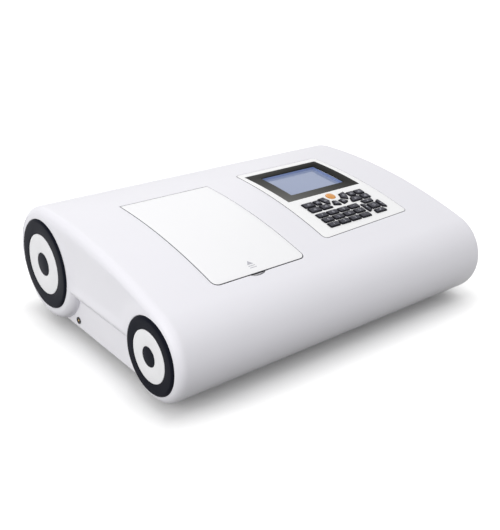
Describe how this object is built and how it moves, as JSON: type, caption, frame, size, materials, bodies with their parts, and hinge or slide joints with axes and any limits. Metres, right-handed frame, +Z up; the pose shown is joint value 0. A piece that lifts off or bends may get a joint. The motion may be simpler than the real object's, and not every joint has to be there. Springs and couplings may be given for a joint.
{
  "type": "double beam spectrophotometer",
  "caption": "Bench-top double beam spectrophotometer: drum-ended moulded housing, hinged lid over the sample chamber, keypad with display.",
  "frame": {"origin": "middle of the box around the whole instrument, at the height that its feet stand on", "axes": "+X to the right seen from the front, along the width; +Y to the back; +Z up"},
  "size_m": [0.636, 0.4698, 0.1964],
  "materials": {
    "body_white": "smooth moulded, slightly glossy",
    "panel_white": "smooth film over moulded plastic",
    "slate": "smooth dark blue grey",
    "inlay_white": "smooth",
    "key_grey": "fine satin",
    "orange": "glossy",
    "screen": "smooth pale blue",
    "bezel_black": "glossy window frame",
    "black_plastic": "satin black",
    "black_paint": "flat black",
    "rubber": "matt",
    "steel": "plain sheet",
    "cast_metal": "cast",
    "dark_metal": "black anodised",
    "board_green": "circuit board"
  },
  "bodies": {
    "housing": {"top_cover": "body_white", "base_pan": "body_white", "lid_hinge_pin": "steel", "control_panel": "panel_white", "display_bezel": "bezel_black", "lcd_screen": "screen", "keypad_board": "board_green", "rear_left_disc": "slate", "rear_left_inlay": "inlay_white", "rear_right_disc": "slate", "rear_right_inlay": "inlay_white", "front_left_disc": "slate", "front_left_inlay": "inlay_white", "front_right_disc": "slate", "front_right_inlay": "inlay_white", "foot_front_left": "rubber", "foot_rear_left": "rubber", "foot_front_right": "rubber", "foot_rear_right": "rubber", "side_jack": "black_plastic", "rear_panel": "steel", "mains_inlet": "black_plastic", "main_board": "board_green", "sample_chamber": "black_paint", "cell_holder": "dark_metal", "monochromator": "cast_metal", "detector_housing": "cast_metal", "lamp_house": "cast_metal"},
    "lid": {"sample_lid": "body_white"},
    "rocker": {"switch_rocker": "black_plastic"},
    "key_left_1_1": {"key_left_1_1": "key_grey"},
    "key_left_1_2": {"key_left_1_2": "key_grey"},
    "key_right_1_1": {"key_right_1_1": "key_grey"},
    "key_right_1_2": {"key_right_1_2": "key_grey"},
    "key_left_2_1": {"key_left_2_1": "key_grey"},
    "key_left_2_2": {"key_left_2_2": "key_grey"},
    "key_right_2_1": {"key_right_2_1": "key_grey"},
    "key_right_2_2": {"key_right_2_2": "key_grey"},
    "key_number_1_1": {"key_number_1_1": "key_grey"},
    "key_number_1_2": {"key_number_1_2": "key_grey"},
    "key_number_1_3": {"key_number_1_3": "key_grey"},
    "key_number_1_4": {"key_number_1_4": "key_grey"},
    "key_number_2_1": {"key_number_2_1": "key_grey"},
    "key_number_2_2": {"key_number_2_2": "key_grey"},
    "key_number_2_3": {"key_number_2_3": "key_grey"},
    "key_number_2_4": {"key_number_2_4": "key_grey"},
    "key_number_3_1": {"key_number_3_1": "key_grey"},
    "key_number_3_2": {"key_number_3_2": "key_grey"},
    "key_number_3_3": {"key_number_3_3": "key_grey"},
    "key_number_3_4": {"key_number_3_4": "key_grey"},
    "key_nav_centre": {"key_nav_centre": "key_grey"},
    "key_nav_front": {"key_nav_front": "key_grey"},
    "key_nav_back": {"key_nav_back": "key_grey"},
    "key_nav_left": {"key_nav_left": "key_grey"},
    "key_nav_right": {"key_nav_right": "key_grey"},
    "key_ring_1": {"key_ring_1": "key_grey"},
    "key_ring_2": {"key_ring_2": "key_grey"},
    "key_ring_3": {"key_ring_3": "key_grey"},
    "key_ring_4": {"key_ring_4": "key_grey"},
    "start_button": {"start_button": "orange"}
  },
  "joints": [
    {"name": "lid_hinge", "type": "hinge", "parent": "housing", "child": "lid", "pos_m": [-0.1235, 0.066, 0.18904], "axis": [-1, 0, 0], "range_deg": [0, 85]},
    {"name": "switch_rock", "type": "hinge", "parent": "housing", "child": "rocker", "pos_m": [0.232, 0.2057, 0.11], "axis": [1, 0, 0], "range_deg": [0, 18]},
    {"name": "key_left_1_1_press", "type": "slide", "parent": "housing", "child": "key_left_1_1", "axis": [0, 0.2033, -0.9791], "range_m": [0, 0.001], "stiffness_N_per_m": 900},
    {"name": "key_left_1_2_press", "type": "slide", "parent": "housing", "child": "key_left_1_2", "axis": [0, 0.2033, -0.9791], "range_m": [0, 0.001], "stiffness_N_per_m": 900},
    {"name": "key_right_1_1_press", "type": "slide", "parent": "housing", "child": "key_right_1_1", "axis": [0, 0.2033, -0.9791], "range_m": [0, 0.001], "stiffness_N_per_m": 900},
    {"name": "key_right_1_2_press", "type": "slide", "parent": "housing", "child": "key_right_1_2", "axis": [0, 0.2033, -0.9791], "range_m": [0, 0.001], "stiffness_N_per_m": 900},
    {"name": "key_left_2_1_press", "type": "slide", "parent": "housing", "child": "key_left_2_1", "axis": [0, 0.2033, -0.9791], "range_m": [0, 0.001], "stiffness_N_per_m": 900},
    {"name": "key_left_2_2_press", "type": "slide", "parent": "housing", "child": "key_left_2_2", "axis": [0, 0.2033, -0.9791], "range_m": [0, 0.001], "stiffness_N_per_m": 900},
    {"name": "key_right_2_1_press", "type": "slide", "parent": "housing", "child": "key_right_2_1", "axis": [0, 0.2033, -0.9791], "range_m": [0, 0.001], "stiffness_N_per_m": 900},
    {"name": "key_right_2_2_press", "type": "slide", "parent": "housing", "child": "key_right_2_2", "axis": [0, 0.2033, -0.9791], "range_m": [0, 0.001], "stiffness_N_per_m": 900},
    {"name": "key_number_1_1_press", "type": "slide", "parent": "housing", "child": "key_number_1_1", "axis": [0, 0.2033, -0.9791], "range_m": [0, 0.001], "stiffness_N_per_m": 900},
    {"name": "key_number_1_2_press", "type": "slide", "parent": "housing", "child": "key_number_1_2", "axis": [0, 0.2033, -0.9791], "range_m": [0, 0.001], "stiffness_N_per_m": 900},
    {"name": "key_number_1_3_press", "type": "slide", "parent": "housing", "child": "key_number_1_3", "axis": [0, 0.2033, -0.9791], "range_m": [0, 0.001], "stiffness_N_per_m": 900},
    {"name": "key_number_1_4_press", "type": "slide", "parent": "housing", "child": "key_number_1_4", "axis": [0, 0.2033, -0.9791], "range_m": [0, 0.001], "stiffness_N_per_m": 900},
    {"name": "key_number_2_1_press", "type": "slide", "parent": "housing", "child": "key_number_2_1", "axis": [0, 0.2033, -0.9791], "range_m": [0, 0.001], "stiffness_N_per_m": 900},
    {"name": "key_number_2_2_press", "type": "slide", "parent": "housing", "child": "key_number_2_2", "axis": [0, 0.2033, -0.9791], "range_m": [0, 0.001], "stiffness_N_per_m": 900},
    {"name": "key_number_2_3_press", "type": "slide", "parent": "housing", "child": "key_number_2_3", "axis": [0, 0.2033, -0.9791], "range_m": [0, 0.001], "stiffness_N_per_m": 900},
    {"name": "key_number_2_4_press", "type": "slide", "parent": "housing", "child": "key_number_2_4", "axis": [0, 0.2033, -0.9791], "range_m": [0, 0.001], "stiffness_N_per_m": 900},
    {"name": "key_number_3_1_press", "type": "slide", "parent": "housing", "child": "key_number_3_1", "axis": [0, 0.2033, -0.9791], "range_m": [0, 0.001], "stiffness_N_per_m": 900},
    {"name": "key_number_3_2_press", "type": "slide", "parent": "housing", "child": "key_number_3_2", "axis": [0, 0.2033, -0.9791], "range_m": [0, 0.001], "stiffness_N_per_m": 900},
    {"name": "key_number_3_3_press", "type": "slide", "parent": "housing", "child": "key_number_3_3", "axis": [0, 0.2033, -0.9791], "range_m": [0, 0.001], "stiffness_N_per_m": 900},
    {"name": "key_number_3_4_press", "type": "slide", "parent": "housing", "child": "key_number_3_4", "axis": [0, 0.2033, -0.9791], "range_m": [0, 0.001], "stiffness_N_per_m": 900},
    {"name": "key_nav_centre_press", "type": "slide", "parent": "housing", "child": "key_nav_centre", "axis": [0, 0.2033, -0.9791], "range_m": [0, 0.001], "stiffness_N_per_m": 900},
    {"name": "key_nav_front_press", "type": "slide", "parent": "housing", "child": "key_nav_front", "axis": [0, 0.2033, -0.9791], "range_m": [0, 0.001], "stiffness_N_per_m": 900},
    {"name": "key_nav_back_press", "type": "slide", "parent": "housing", "child": "key_nav_back", "axis": [0, 0.2033, -0.9791], "range_m": [0, 0.001], "stiffness_N_per_m": 900},
    {"name": "key_nav_left_press", "type": "slide", "parent": "housing", "child": "key_nav_left", "axis": [0, 0.2033, -0.9791], "range_m": [0, 0.001], "stiffness_N_per_m": 900},
    {"name": "key_nav_right_press", "type": "slide", "parent": "housing", "child": "key_nav_right", "axis": [0, 0.2033, -0.9791], "range_m": [0, 0.001], "stiffness_N_per_m": 900},
    {"name": "key_ring_1_press", "type": "slide", "parent": "housing", "child": "key_ring_1", "axis": [0, 0.2033, -0.9791], "range_m": [0, 0.001], "stiffness_N_per_m": 900},
    {"name": "key_ring_2_press", "type": "slide", "parent": "housing", "child": "key_ring_2", "axis": [0, 0.2033, -0.9791], "range_m": [0, 0.001], "stiffness_N_per_m": 900},
    {"name": "key_ring_3_press", "type": "slide", "parent": "housing", "child": "key_ring_3", "axis": [0, 0.2033, -0.9791], "range_m": [0, 0.001], "stiffness_N_per_m": 900},
    {"name": "key_ring_4_press", "type": "slide", "parent": "housing", "child": "key_ring_4", "axis": [0, 0.2033, -0.9791], "range_m": [0, 0.001], "stiffness_N_per_m": 900},
    {"name": "start_button_press", "type": "slide", "parent": "housing", "child": "start_button", "axis": [0, 0.2033, -0.9791], "range_m": [0, 0.001], "stiffness_N_per_m": 900}
  ]
}
